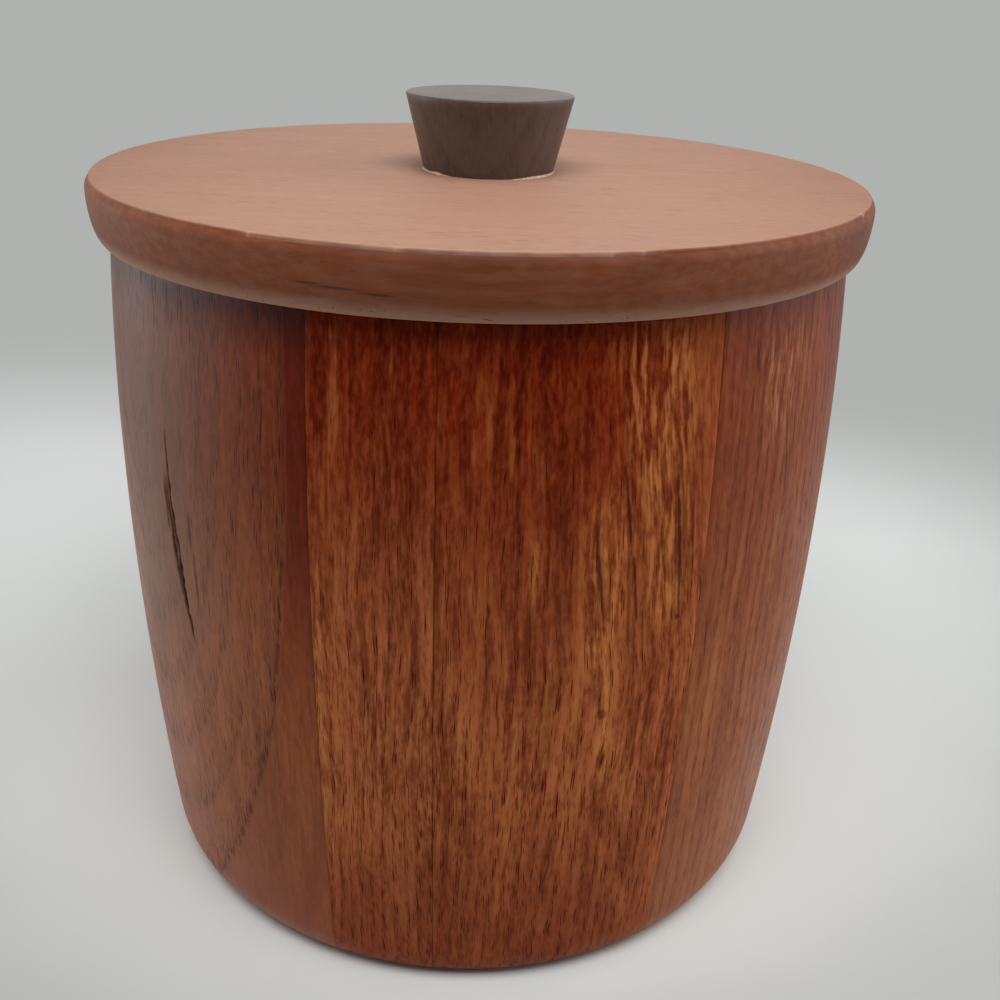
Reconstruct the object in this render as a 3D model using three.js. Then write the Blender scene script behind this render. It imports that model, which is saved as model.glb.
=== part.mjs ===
// A lidded wooden canister: a coopered wall of nine staves, a base panel held in the
// croze of the staves, and a lift-off lid with a locating plug and a tapered knob.
// Millimetres, +Z up. The origin is the middle of the foot, and the front faces -Y.
import * as THREE from "three";

// Coopered wall
const BODY_HEIGHT = 160;
const MOUTH_RADIUS = 85.7;
const BELLY_SWELL = 1.8; // belly radius less mouth radius
const BELLY_BELOW_RIM = 48;
const HEEL_DRAW_IN = 6.3; // belly radius less the radius just above the foot
const HEEL_ROUND = 5;
const RIM_WALL = 10.7;
const HEEL_WALL = 10.2;
const RIM_ROUND = 1;
const FOOT_CHAMFER = 0.8;
const GLUE_LINE = 0.2; // between neighbouring staves
const STAVE_SEAMS = [-72, -21.5, -4.8, 32.5, 75, 111, 159, 199, 243]; // degrees from the front

// Croze and base panel
const CROZE_FLOOR = 9; // above the foot
const CROZE_WIDTH = 5;
const CROZE_DEPTH = 4;
const BASE_THICKNESS = 9;
const BASE_LIFT_PLAY = 0.4; // between the tongue and the roof of the croze
const BASE_SWELL_PLAY = 0.8; // between the tongue and the back of the croze
const BASE_SIDE_CLEARANCE = 0.5;
const BASE_CHAMFER = 0.8;

// Lid board and the plug glued under it
const LID_OVERHANG = 4.3;
const LID_THICKNESS = 13;
const LID_WIDEST_HEIGHT = 10.4; // above the underside
const LID_UNDERCUT = 2.8; // widest radius less underside radius
const LID_TOP_SET_BACK = 0.8; // widest radius less the radius where the rim meets the top
const LID_EDGE_ROUND = 0.6;
const PLUG_DEPTH = 7;
const PLUG_CLEARANCE = 0.9;
const PLUG_ROUND = 1.5;

// Knob, its dowel and the bead of glue at its foot
const KNOB_FOOT_RADIUS = 15.3;
const KNOB_FLARE = 4.2; // top radius less foot radius
const KNOB_HEIGHT = 17.2;
const KNOB_EDGE_ROUND = 0.4;
const DOWEL_RADIUS = 5;
const DOWEL_SOCKET = 11; // depth of the hole in the knob
const DOWEL_CLEARANCE = 0.2;
const DOWEL_END_PLAY = 0.4;
const DOWEL_CHAMFER = 0.8;
const BEAD_WIDTH = 0.9;
const BEAD_HEIGHT = 0.7;
const BEAD_CLEARANCE = 0.1;

// Facets
const WIDE_STEPS = 96;
const HIDDEN_STEPS = 72;
const KNOB_STEPS = 64;
const DOWEL_STEPS = 32;
const LONG_ARC_STEPS = 10;
const SHORT_ARC_STEPS = 5;
const EDGE_STEPS = 3;

// Sizes that follow from the ones above
const bellyRadius = MOUTH_RADIUS + BELLY_SWELL;
const bellyHeight = BODY_HEIGHT - BELLY_BELOW_RIM;
const heelRadius = bellyRadius - HEEL_DRAW_IN;
const mouthBore = MOUTH_RADIUS - RIM_WALL;
const heelBore = heelRadius - HEEL_WALL;
const crozeRoof = CROZE_FLOOR + CROZE_WIDTH;
const lidRadius = MOUTH_RADIUS + LID_OVERHANG;
const dowelHole = DOWEL_RADIUS + DOWEL_CLEARANCE;

// Radius of the tapered bore at a height above the foot
function boreRadius(height) {
  return THREE.MathUtils.lerp(heelBore, mouthBore, height / BODY_HEIGHT);
}

function point(radius, height) {
  return new THREE.Vector2(radius, height);
}

// Points of an arc round a centre, with its angles in quarter turns: circular unless it has its own height
function arc(centre, radius, fromQuarter, toQuarter, steps, height = radius) {
  const from = (fromQuarter * Math.PI) / 2;
  const to = (toQuarter * Math.PI) / 2;
  return new THREE.EllipseCurve(centre.x, centre.y, radius, height, from, to, to < from).getPoints(steps);
}

// Points of the arc that is upright at its widest point and ends at the given one
function bulge(widest, end, steps) {
  const drop = widest.x - end.x;
  const rise = end.y - widest.y;
  const radius = (drop ** 2 + rise ** 2) / (2 * drop);
  const centre = point(widest.x - radius, widest.y);
  return arc(centre, radius, 0, (2 * Math.asin(rise / radius)) / Math.PI, steps);
}

// One outline from several stretches, without the points that repeat where they meet
function outline(...stretches) {
  const points = stretches.flat();
  return points.filter((p, i) => i === 0 || p.distanceTo(points[i - 1]) > 1e-6);
}

function radians(degrees) {
  return THREE.MathUtils.degToRad(degrees);
}

// A profile in radius and height, counterclockwise, turned all the way round +Z
function turned(profile, steps) {
  return new THREE.LatheGeometry(profile, steps).rotateX(Math.PI / 2);
}

// A ring's profile returns to its first point
function turnedRing(profile, steps) {
  return turned([...profile, profile[0]], steps);
}

// A profile turned through part of a circle, with both of its flat ends closed
function turnedWedge(profile, fromAngle, toAngle) {
  const span = toAngle - fromAngle;
  const steps = Math.max(2, Math.ceil((span * WIDE_STEPS) / (2 * Math.PI)));
  const closed = [...profile, profile[0]];
  const geometry = new THREE.LatheGeometry(closed, steps, fromAngle, span);
  const lastRow = steps * closed.length;
  const triangles = [...geometry.getIndex().array];
  for (const [a, b, c] of THREE.ShapeUtils.triangulateShape(profile, [])) {
    triangles.push(a, b, c);
    triangles.push(lastRow + a, lastRow + c, lastRow + b);
  }
  geometry.setIndex(triangles);
  return geometry.rotateX(Math.PI / 2);
}

function wood(colour, roughness) {
  return new THREE.MeshStandardMaterial({ color: colour, roughness, metalness: 0 });
}

function piece(name, geometry, material) {
  const mesh = new THREE.Mesh(geometry, material);
  mesh.name = name;
  return mesh;
}

// Section of the wall: round heel, swelling side, round rim, tapered bore with the croze
function staveProfile() {
  const heelCentre = point(heelRadius - HEEL_ROUND, HEEL_ROUND);
  const belly = point(bellyRadius, bellyHeight);
  const rimStart = point(MOUTH_RADIUS, BODY_HEIGHT - RIM_ROUND);
  const outerRim = point(MOUTH_RADIUS - RIM_ROUND, BODY_HEIGHT - RIM_ROUND);
  const innerRim = point(mouthBore + RIM_ROUND, BODY_HEIGHT - RIM_ROUND);
  return outline(
    [point(heelBore + FOOT_CHAMFER, 0)],
    arc(heelCentre, HEEL_ROUND, -1, 0, SHORT_ARC_STEPS),
    bulge(belly, point(heelRadius, HEEL_ROUND), LONG_ARC_STEPS).reverse(),
    bulge(belly, rimStart, SHORT_ARC_STEPS),
    arc(outerRim, RIM_ROUND, 0, 1, EDGE_STEPS),
    arc(innerRim, RIM_ROUND, 1, 2, EDGE_STEPS),
    [
      point(boreRadius(crozeRoof), crozeRoof),
      point(boreRadius(crozeRoof) + CROZE_DEPTH, crozeRoof),
      point(boreRadius(crozeRoof) + CROZE_DEPTH, CROZE_FLOOR),
      point(boreRadius(CROZE_FLOOR), CROZE_FLOOR),
      point(boreRadius(FOOT_CHAMFER), FOOT_CHAMFER),
    ],
  );
}

// Section of the base: its tongue stands on the floor of the croze
function baseProfile() {
  const tongueTop = crozeRoof - BASE_LIFT_PLAY;
  const underside = tongueTop - BASE_THICKNESS;
  const tongueRadius = boreRadius(crozeRoof) + CROZE_DEPTH - BASE_SWELL_PLAY;
  const underRadius = boreRadius(underside) - BASE_SIDE_CLEARANCE;
  return [
    point(0, underside),
    point(underRadius - BASE_CHAMFER, underside),
    point(underRadius, underside + BASE_CHAMFER),
    point(underRadius, CROZE_FLOOR),
    point(tongueRadius, CROZE_FLOOR),
    point(tongueRadius, tongueTop - BASE_CHAMFER),
    point(tongueRadius - BASE_CHAMFER, tongueTop),
    point(0, tongueTop),
  ];
}

// Section of the lid from its underside: a full, rounded rim with a crisp upper edge
function lidProfile() {
  const widest = point(lidRadius, LID_WIDEST_HEIGHT);
  const underCentre = point(lidRadius - LID_UNDERCUT, LID_WIDEST_HEIGHT);
  const topEdge = point(lidRadius - LID_TOP_SET_BACK, LID_THICKNESS - LID_EDGE_ROUND);
  const edgeCentre = point(topEdge.x - LID_EDGE_ROUND, topEdge.y);
  return outline(
    [point(dowelHole, 0)],
    arc(underCentre, LID_UNDERCUT, -1, 0, SHORT_ARC_STEPS, LID_WIDEST_HEIGHT),
    bulge(widest, topEdge, EDGE_STEPS),
    arc(edgeCentre, LID_EDGE_ROUND, 0, 1, EDGE_STEPS),
    [point(dowelHole, LID_THICKNESS)],
  );
}

// Section of the plug, which hangs from the underside of the lid into the mouth
function plugProfile() {
  const radius = boreRadius(BODY_HEIGHT - PLUG_DEPTH) - PLUG_CLEARANCE;
  const roundCentre = point(radius - PLUG_ROUND, PLUG_ROUND - PLUG_DEPTH);
  return outline(
    [point(0, -PLUG_DEPTH)],
    arc(roundCentre, PLUG_ROUND, -1, 0, EDGE_STEPS),
    [point(radius, 0), point(0, 0)],
  );
}

// Section of the knob from its foot, with the blind hole for the dowel
function knobProfile() {
  const topRadius = KNOB_FOOT_RADIUS + KNOB_FLARE;
  const edgeCentre = point(topRadius - KNOB_EDGE_ROUND, KNOB_HEIGHT - KNOB_EDGE_ROUND);
  return outline(
    [point(0, DOWEL_SOCKET), point(dowelHole, DOWEL_SOCKET), point(dowelHole, 0)],
    [point(KNOB_FOOT_RADIUS, 0)],
    arc(edgeCentre, KNOB_EDGE_ROUND, 0, 1, EDGE_STEPS),
    [point(0, KNOB_HEIGHT)],
  );
}

// Section of the dowel, which stands on the plug and ends just short of its socket
function dowelProfile() {
  const length = LID_THICKNESS + DOWEL_SOCKET - DOWEL_END_PLAY;
  const tip = DOWEL_RADIUS - DOWEL_CHAMFER;
  return [
    point(0, 0),
    point(tip, 0),
    point(DOWEL_RADIUS, DOWEL_CHAMFER),
    point(DOWEL_RADIUS, length - DOWEL_CHAMFER),
    point(tip, length),
    point(0, length),
  ];
}

// Section of the squeezed-out glue, which follows the slope of the knob's side
function beadProfile() {
  const inner = KNOB_FOOT_RADIUS + BEAD_CLEARANCE;
  const lean = (KNOB_FLARE / KNOB_HEIGHT) * BEAD_HEIGHT;
  const outer = inner + lean + BEAD_WIDTH;
  return [
    point(inner, 0),
    point(outer, 0),
    point(outer - BEAD_WIDTH / 2, BEAD_HEIGHT / 2),
    point(inner + lean, BEAD_HEIGHT),
  ];
}

const TEAK_TONES = [0x7b4a38, 0x9c4f27, 0x8f3f20, 0xa2562f];

// The staves stand side by side, each between two seams
function staves() {
  const profile = staveProfile();
  const halfGap = GLUE_LINE / (2 * MOUTH_RADIUS);
  return STAVE_SEAMS.map((seam, i) => {
    const next = STAVE_SEAMS[i + 1] ?? STAVE_SEAMS[0] + 360;
    const geometry = turnedWedge(profile, radians(seam) + halfGap, radians(next) - halfGap);
    return piece(`stave_${i + 1}`, geometry, wood(TEAK_TONES[i % TEAK_TONES.length], 0.45));
  });
}

const body = new THREE.Group();
body.add(...staves());
body.add(piece("base_panel", turned(baseProfile(), HIDDEN_STEPS), wood(0x8a5334, 0.6)));

const knobAssembly = new THREE.Group();
knobAssembly.position.z = LID_THICKNESS;
knobAssembly.add(piece("knob", turned(knobProfile(), KNOB_STEPS), wood(0x4a342b, 0.4)));
knobAssembly.add(piece("knob_glue_bead", turnedRing(beadProfile(), KNOB_STEPS), wood(0xd8c7ae, 0.5)));

const lid = new THREE.Group();
lid.position.z = BODY_HEIGHT;
lid.add(piece("lid_board", turnedRing(lidProfile(), WIDE_STEPS), wood(0xa9735b, 0.45)));
lid.add(piece("lid_plug", turned(plugProfile(), HIDDEN_STEPS), wood(0x8a5334, 0.6)));
lid.add(piece("knob_dowel", turned(dowelProfile(), DOWEL_STEPS), wood(0xc9a779, 0.7)));
lid.add(knobAssembly);

const canister = new THREE.Group();
canister.add(body, lid);

export default canister;
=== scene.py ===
from dataclasses import dataclass, replace
from math import asin, cos, degrees, dist, pi, radians, sin

import bpy
from mathutils import Matrix, Vector, noise


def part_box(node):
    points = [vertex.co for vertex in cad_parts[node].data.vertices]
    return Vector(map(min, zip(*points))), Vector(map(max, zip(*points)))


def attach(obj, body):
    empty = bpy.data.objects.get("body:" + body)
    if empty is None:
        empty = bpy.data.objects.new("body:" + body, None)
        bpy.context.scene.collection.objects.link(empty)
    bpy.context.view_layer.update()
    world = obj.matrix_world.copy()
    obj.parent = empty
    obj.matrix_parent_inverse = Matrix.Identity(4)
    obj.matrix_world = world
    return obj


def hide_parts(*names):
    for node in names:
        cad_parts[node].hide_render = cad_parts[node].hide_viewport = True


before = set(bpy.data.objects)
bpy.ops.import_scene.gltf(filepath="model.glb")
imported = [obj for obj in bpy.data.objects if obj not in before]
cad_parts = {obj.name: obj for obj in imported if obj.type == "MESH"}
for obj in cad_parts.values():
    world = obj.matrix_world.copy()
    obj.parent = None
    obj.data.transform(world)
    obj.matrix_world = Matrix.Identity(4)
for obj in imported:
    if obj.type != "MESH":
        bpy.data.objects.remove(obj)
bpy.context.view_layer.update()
scene = bpy.context.scene

MM = 0.001
SHARP_EDGE = 35.0  # degrees from which an edge is shaded sharp

# The wall's section in millimetres, as the staves are turned
BODY_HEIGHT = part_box("stave_1")[1].z / MM
MOUTH_RADIUS = 85.7
BELLY_RADIUS = 87.5
BELLY_HEIGHT = 112.0
FOOT_RADIUS = 75.8
HEEL_WIDTH = 6.6
HEEL_HEIGHT = 11.8
HEEL_MEETS_WALL = -10.0  # degrees round the heel's curve
RIM_ROUND = 1.0
MOUTH_BORE = 75.0
HEEL_BORE = 71.0
FOOT_CHAMFER = 0.8
CROZE_FLOOR = 9.0
CROZE_ROOF = 14.0
CROZE_DEPTH = 4.0
BROAD_WAVER = 0.07
FINE_WAVER = 0.02

# Seams between the staves, in degrees from the front, positive to the right
DARK_SEAM = -4.8
FAINT_SEAM = 32.5
STAVE_SEAMS = [-72.0, -21.5, DARK_SEAM, FAINT_SEAM, 75.0, 111.0, 159.0, 199.0, 243.0]
STAVE_COLUMN = 0.8  # degrees between a stave's columns of points
SEAM_GAP = 0.06
ARRIS_WIDTH = 0.22
ARRIS_DEPTH = 0.07
SEAM_SHADE = 0.25
SEAM_SHADES = {DARK_SEAM: 0.75, FAINT_SEAM: 0.12}
DARK_SEAM_TOP = 110.0  # height from which no seam is darker than the rest
SEAM_BREAKS = 0.17  # how often a seam's shade changes, per millimetre

# Lid, plug, knob and base sections in millimetres
LID_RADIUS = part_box("lid_board")[1].x / MM
LID_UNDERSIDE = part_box("lid_board")[0].z / MM
LID_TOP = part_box("lid_board")[1].z / MM
LID_WIDEST_HEIGHT = 10.4
LID_UNDERCUT = 2.8
LID_TOP_SET_BACK = 0.8
LID_EDGE_ROUND = 0.6
LID_EDGE_BAND = 5.0  # width of the band of close rings inside the top edge
LID_COLUMNS = 960
PLUG_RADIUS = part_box("lid_plug")[1].x / MM
PLUG_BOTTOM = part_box("lid_plug")[0].z / MM
PLUG_ROUND = 1.5
KNOB_FOOT_RADIUS = 15.3
KNOB_TOP_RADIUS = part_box("knob")[1].x / MM
KNOB_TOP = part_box("knob")[1].z / MM
KNOB_EDGE_ROUND = 0.4
KNOB_ASIDE = 1.2
BEAD_WIDTH = 0.9
BEAD_HEIGHT = 0.7
BEAD_SUNK = 0.05
BEAD_CLEARANCE = 0.01
WIPED_GLUE = (-38.0, 22.0)  # degrees from the front
WIPED_GLUE_EASE = 15.0
DOWEL_HOLE = 5.2
DOWEL_SOCKET = 11.0
DOWEL_CHAMFER = 0.6
BASE_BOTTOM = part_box("base_panel")[0].z / MM
BASE_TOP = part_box("base_panel")[1].z / MM
BASE_TONGUE_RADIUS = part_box("base_panel")[1].x / MM
BASE_UNDER_RADIUS = 70.6
BASE_CHAMFER = 0.8

# The floor in millimetres and degrees: where it fades, and its two tones: painted light, paler behind the
# object
FLOOR_HALF = 6000.0
FLOOR_FADE = (300.0, 700.0)
FLOOR_BACK_FADE = (170.0, 400.0)
FLOOR_BACK_TURN = 12.0
FLOOR_TONE_TURN = -5.0
FLOOR_TONES = (-260.0, -90.0)
FLOOR_TONE_ROUND = 1.2  # how the bright tone narrows with distance
FLOOR_MOTTLE = 20.0
FLOOR_FRONT = (0.53, 0.545, 0.53)
FLOOR_REAR = (0.86, 0.89, 0.87)
BACKGROUND = (0.43, 0.445, 0.43)
WORLD_LIGHT = 0.09
WORLD_TINT = (0.96, 0.98, 1.0)

# Camera of the photograph: the lens for a 36 mm wide sensor, degrees and millimetres
LENS = 42.48
CAMERA_BACK = 287.1
CAMERA_HEIGHT = 216.4
CAMERA_PITCH = 24.23
CAMERA_YAW = 1.36
CAMERA_ROLL = 2.09
CAMERA_NEAR = 10.0


# Small helpers


def clamp(value):
    """The value, kept between 0 and 1."""
    return min(1.0, max(0.0, value))


def from_front(azimuth):
    """An azimuth as a turn either way from the front, in degrees."""
    return (azimuth + 180) % 360 - 180


def at(azimuth, radius, height):
    """A point in metres from an azimuth in degrees and a radius and height in millimetres."""
    a = radians(azimuth)
    return Vector((radius * sin(a), -radius * cos(a), height)) * MM


def wall_degrees(width):
    """The turn in degrees that a width in millimetres takes up on the wall."""
    return degrees(width / BELLY_RADIUS)


# Outlines in radius and height


def arc(centre_r, centre_z, radius, start, end, steps, height=None):
    """Points of an arc, circular unless it has its own height, in degrees from the outward direction."""
    angles = [radians(start + (end - start) * i / steps) for i in range(steps + 1)]
    return [(centre_r + radius * cos(a), centre_z + (height or radius) * sin(a)) for a in angles]


def bulge(widest, end, steps):
    """Points from the widest point, where the arc is upright, to its end."""
    drop = widest[0] - end[0]
    rise = end[1] - widest[1]
    radius = (drop**2 + rise**2) / (2 * drop)
    turn = degrees(asin(rise / radius))
    return arc(widest[0] - radius, widest[1], radius, 0, turn, steps)


def line(start, end, steps):
    """Points of a straight stretch, without its last one."""
    return [
        (start[0] + (end[0] - start[0]) * i / steps, start[1] + (end[1] - start[1]) * i / steps)
        for i in range(steps)
    ]


def disc(radius, height, step):
    """Points from the axis out to a radius, for a flat face made of rings."""
    count = max(1, round(radius / step))
    return [(radius * i / count, height) for i in range(count)]


def chain(*stretches):
    """One outline from several stretches, without the points that repeat where they meet."""
    points = []
    for p in (p for stretch in stretches for p in stretch):
        if not points or dist(p, points[-1]) > 1e-6:
            points.append(p)
    return points


def bore_radius(height):
    return HEEL_BORE + (MOUTH_BORE - HEEL_BORE) * height / BODY_HEIGHT


def outer_side():
    """The turned outside of the wall, from the foot to the top of the rim."""
    belly = (BELLY_RADIUS, BELLY_HEIGHT)
    heel = arc(FOOT_RADIUS, HEEL_HEIGHT, HEEL_WIDTH, -90, HEEL_MEETS_WALL, 24, HEEL_HEIGHT)
    return chain(
        heel,
        bulge(belly, heel[-1], 130)[::-1],
        bulge(belly, (MOUTH_RADIUS, BODY_HEIGHT - RIM_ROUND), 32),
        arc(MOUTH_RADIUS - RIM_ROUND, BODY_HEIGHT - RIM_ROUND, RIM_ROUND, 0, 90, 6),
    )


def inner_side():
    """The bore with its croze, from the top of the rim to the foot."""
    roof = bore_radius(CROZE_ROOF)
    floor = bore_radius(CROZE_FLOOR)
    return chain(
        arc(MOUTH_BORE + RIM_ROUND, BODY_HEIGHT - RIM_ROUND, RIM_ROUND, 90, 180, 6),
        line((MOUTH_BORE, BODY_HEIGHT - RIM_ROUND), (roof, CROZE_ROOF), 16),
        [(roof, CROZE_ROOF), (roof + CROZE_DEPTH, CROZE_ROOF), (roof + CROZE_DEPTH, CROZE_FLOOR)],
        [(floor, CROZE_FLOOR), (bore_radius(FOOT_CHAMFER), FOOT_CHAMFER), (HEEL_BORE + FOOT_CHAMFER, 0)],
    )


# Meshes


def mesh_piece(name, vertices, faces, material):
    """An object from its vertices and faces, shaded smooth except at sharp edges."""
    mesh = bpy.data.meshes.new(name)
    mesh.from_pydata(vertices, [], faces)
    mesh.validate()
    mesh.polygons.foreach_set("use_smooth", [True] * len(mesh.polygons))
    mesh.set_sharp_from_angle(angle=radians(SHARP_EDGE))
    mesh.materials.append(material)
    obj = bpy.data.objects.new(name, mesh)
    scene.collection.objects.link(obj)
    return obj


def point_values(obj, name, values):
    """Stores one number for each vertex, which the materials read by name."""
    layer = obj.data.attributes.new(name, "FLOAT", "POINT")
    layer.data.foreach_set("value", values)


def stands_for(obj, node, body):
    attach(obj, body)
    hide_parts(node)


def turned_piece(name, profile, columns, material, moved=None):
    """A profile turned all the way round, which closes on itself where it keeps off the axis. moved
    shifts a point in radius and height."""
    vertices = []
    rows = []
    for radius, height in profile:
        if radius < 1e-6:
            rows.append([len(vertices)] * columns)
            vertices.append(Vector((0, 0, height)) * MM)
            continue
        rows.append(list(range(len(vertices), len(vertices) + columns)))
        for c in range(columns):
            azimuth = 360 * c / columns
            r, z = moved(azimuth, radius, height) if moved else (radius, height)
            vertices.append(at(azimuth, r, z))
    if profile[0][0] > 1e-6:
        rows.append(rows[0])
    faces = []
    for low, high in zip(rows, rows[1:]):
        for c in range(columns):
            d = (c + 1) % columns
            corners = [low[c], low[d], high[d], high[c]]
            faces.append(list(dict.fromkeys(corners)))
    return mesh_piece(name, vertices, faces, material)


# Shader building


class Graph:
    """Adds nodes to a material or a world and joins them, so that a shader reads as a formula."""

    def __init__(self, owner):
        owner.use_nodes = True
        self.owner = owner
        self.tree = owner.node_tree
        self.shader = self.tree.nodes.get("Principled BSDF")

    def feed(self, socket, value):
        if isinstance(value, bpy.types.NodeSocket):
            self.tree.links.new(value, socket)
        else:
            socket.default_value = value

    def add(self, kind, inputs, **settings):
        node = self.tree.nodes.new("ShaderNode" + kind)
        for key, value in settings.items():
            setattr(node, key, value)
        for key, value in inputs.items():
            self.feed(node.inputs[key], value)
        return node

    def math(self, operation, a, b=0.0):
        return self.add("Math", {0: a, 1: b}, operation=operation).outputs[0]

    def plus(self, a, b):
        return self.math("ADD", a, b)

    def minus(self, a, b):
        return self.math("SUBTRACT", a, b)

    def times(self, first, *others):
        """The product of two or more values."""
        for value in others:
            first = self.math("MULTIPLY", first, value)
        return first

    def over(self, a, b):
        return self.math("DIVIDE", a, b)

    def most(self, a, b):
        return self.math("MAXIMUM", a, b)

    def weighted(self, *terms):
        """The sum of values, each times its weight."""
        total = 0.0
        for value, weight in terms:
            total = self.plus(total, self.times(value, weight))
        return total

    def vector_math(self, operation, inputs):
        return self.add("VectorMath", inputs, operation=operation).outputs

    def dot(self, a, b):
        return self.vector_math("DOT_PRODUCT", {0: a, 1: b})["Value"]

    def length(self, vector):
        return self.vector_math("LENGTH", {0: vector})["Value"]

    def scaled(self, vector, factor):
        return self.vector_math("SCALE", {0: vector, "Scale": factor})[0]

    def vector(self, x, y, z):
        return self.add("CombineXYZ", {"X": x, "Y": y, "Z": z}).outputs[0]

    def ramp(self, value, low, high, out_low, out_high, kind):
        inputs = {"Value": value, "From Min": low, "From Max": high, "To Min": out_low, "To Max": out_high}
        return self.add("MapRange", inputs, interpolation_type=kind).outputs["Result"]

    def step(self, value, low, high, out_low=0.0, out_high=1.0):
        """A smooth step from out_low to out_high as value goes from low to high."""
        return self.ramp(value, low, high, out_low, out_high, "SMOOTHSTEP")

    def mix(self, factor, a, b, blend="MIX"):
        """A mix of two colours, each from other nodes or given as red, green and blue."""
        a, b = [c if isinstance(c, bpy.types.NodeSocket) else (*c, 1) for c in (a, b)]
        node = self.add("Mix", {0: factor, 6: a, 7: b}, data_type="RGBA", blend_type=blend)
        return node.outputs[2]

    def shaded(self, colour, factor, tint):
        """The colour multiplied by a tint, as far as the factor says."""
        return self.mix(factor, colour, tint, "MULTIPLY")

    def noise(self, vector, detail=3.0, roughness=0.55):
        inputs = {"Vector": vector, "Scale": 1.0, "Detail": detail, "Roughness": roughness}
        return self.add("TexNoise", inputs).outputs["Fac"]

    def cells(self, vector):
        """Distance to the nearest cell point and that cell's own random number."""
        inputs = {"Vector": vector, "Scale": 1.0, "Randomness": 1.0}
        node = self.add("TexVoronoi", inputs, voronoi_dimensions="2D")
        number = self.add("SeparateColor", {"Color": node.outputs["Color"]}).outputs[0]
        return node.outputs["Distance"], number

    def attribute(self, name):
        return self.add("Attribute", {}, attribute_name=name).outputs["Fac"]

    def object_mm(self):
        return self.scaled(self.add("TexCoord", {}).outputs["Object"], 1 / MM)

    def surface(self, inputs):
        """Feeds the surface of a material by the names of its inputs."""
        for key, value in inputs.items():
            self.feed(self.shader.inputs[key], value)

    def bump(self, strength, depth, height):
        """Gives a surface relief, with its depth in millimetres."""
        inputs = {"Strength": strength, "Distance": depth * MM, "Height": height}
        self.surface({"Normal": self.add("Bump", inputs).outputs["Normal"]})


# Wood


@dataclass
class Board:
    """How a piece of wood was cut from its tree, and its colours."""

    across: Vector  # along the board's face, square to the grain
    through: Vector  # out of the board's face
    grain: Vector  # along the fibres
    pith: tuple  # the tree's centre, across and through, where the grain starts
    lean: float  # how far the centre moves outwards per millimetre of grain
    ring: float  # millimetres of one year's growth
    dark: tuple
    light: tuple
    glow: tuple  # the golden figure
    contrast: float = 1.0  # how sharply dark and light streaks differ
    figure: float = 0.3  # how much golden figure shows
    pores: float = 0.6  # how crowded the pores are where the grain starts
    pore_shade: float = 1.0  # how dark the pores are
    rows: float = 0.6  # how far the pores keep to rows in the early wood
    thinning: float = 0.0  # how much less crowded they get per millimetre of grain
    skew: float = 0.3  # how far pores shift sideways per millimetre of depth
    roll: float = 1.5  # how far pores shift along the grain per millimetre of depth
    wave: float = 1.2  # millimetres that the fibres stray sideways
    calm: float = 0.0  # the radius, if any, outside which hardly any pores show
    seed: float = 0.0
    roughness: float = 0.42
    shine: float = 0.08
    upper_shade: tuple = ()  # along the grain, where the upper wall's painted shade starts and where it is darkest
    deep: tuple = (0.66, 0.4, 0.3)  # tint of that painted shade
    under_lid: tuple = (0.8, 0.74, 0.72)  # tint of the lid's painted shadow on the wood just under it
    rubbed_and_painted_light: tuple = ()  # along the grain, where streaks are worn faint and the foot's painted shade is full, and where neither is
    foot: tuple = (1.0, 1.0, 1.0)  # tint of the painted shade at the foot
    grey_side: tuple = ()  # across the face, where the painted sheen is greyest and where it ends
    red_side: tuple = ()  # across the face, where pores and the painted shade are full and where weaker, the side that is lit more
    flames: tuple = ()  # golden bands: the low and high end of each, across, along and half width
    slant: tuple = ()  # how far the fibres on the right lean over, between two places along


@dataclass
class Mark:
    """A dark mark in the wood, such as a pin knot or a long open pore."""

    centre: Vector
    half_width: float
    half_length: float
    tilt: float = 0.0  # millimetres across per millimetre of grain
    depth: float = 3.0
    shade: float = 0.85


def upright_board(azimuth, side, depth, lean, upper_shade=(60, 150), rubbed_and_painted_light=(8, 58), **rest):
    """A stave's board, which faces an azimuth, with the pith so far to its right and so deep under it."""
    a = radians(azimuth)
    return Board(
        across=Vector((cos(a), sin(a), 0)),
        through=Vector((sin(a), -cos(a), 0)),
        grain=Vector((0, 0, 1)),
        pith=(side, BELLY_RADIUS - depth),
        lean=lean,
        upper_shade=upper_shade,
        rubbed_and_painted_light=rubbed_and_painted_light,
        **rest,
    )


def lying_board(angle, pith, lean, **rest):
    """A board that lies flat, with its grain turned that many degrees from +X."""
    a = radians(angle)
    return Board(
        across=Vector((-sin(a), cos(a), 0)),
        through=Vector((0, 0, 1)),
        grain=Vector((cos(a), sin(a), 0)),
        pith=pith,
        lean=lean,
        **rest,
    )


# Two layers of pores: a cell's width and length in millimetres, the pore's share of it, and a seed
COARSE_PORES = (0.5, 15.0, 0.21, 7.7)
FINE_PORES = (0.36, 7.0, 0.25, 11.9)
FINE_PORE_SHADE = 0.8
FILLED_PORE_SHADE = 0.35
PORE_ROUGHNESS = 0.25
PORE_DEPTH = 0.12
POLISH_RANGE = 0.16

# Streaks: their middle value, and how far from it they are fully dark or light
USUAL_STREAK = 0.525
STREAK_REACH = 0.09
OILED_STREAK_REACH = 0.02
# Share of painted shade and oil at which the lid is fully darkened and its streaks faintest
FULL_OIL_AND_SHADE = 0.8

# Golden bands: how strong they are, and how far their ends ease out and in, in millimetres
FLAME_STRENGTH = 0.75
FLAME_EASE_OUT = 12.0
FLAME_EASE_IN = 4.0

# Places on a stave, in millimetres along the grain or across the face
SLANT_EASE = 15.0  # on each side of the face's middle, where the slant sets in
# Where the painted sheen on the left stave starts and weakens along the grain, and how it fades towards the
# seam
SHEEN_START = (40.0, 100.0)
SHEEN_WEAKENS = (130.0, 160.0)
SHEEN_FROM_SEAM = (-36.0, -6.0)
# Along the grain, where the lid's painted shadow starts and where it is darkest
SHADED_BY_LID = (146.0, 160.0)

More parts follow.
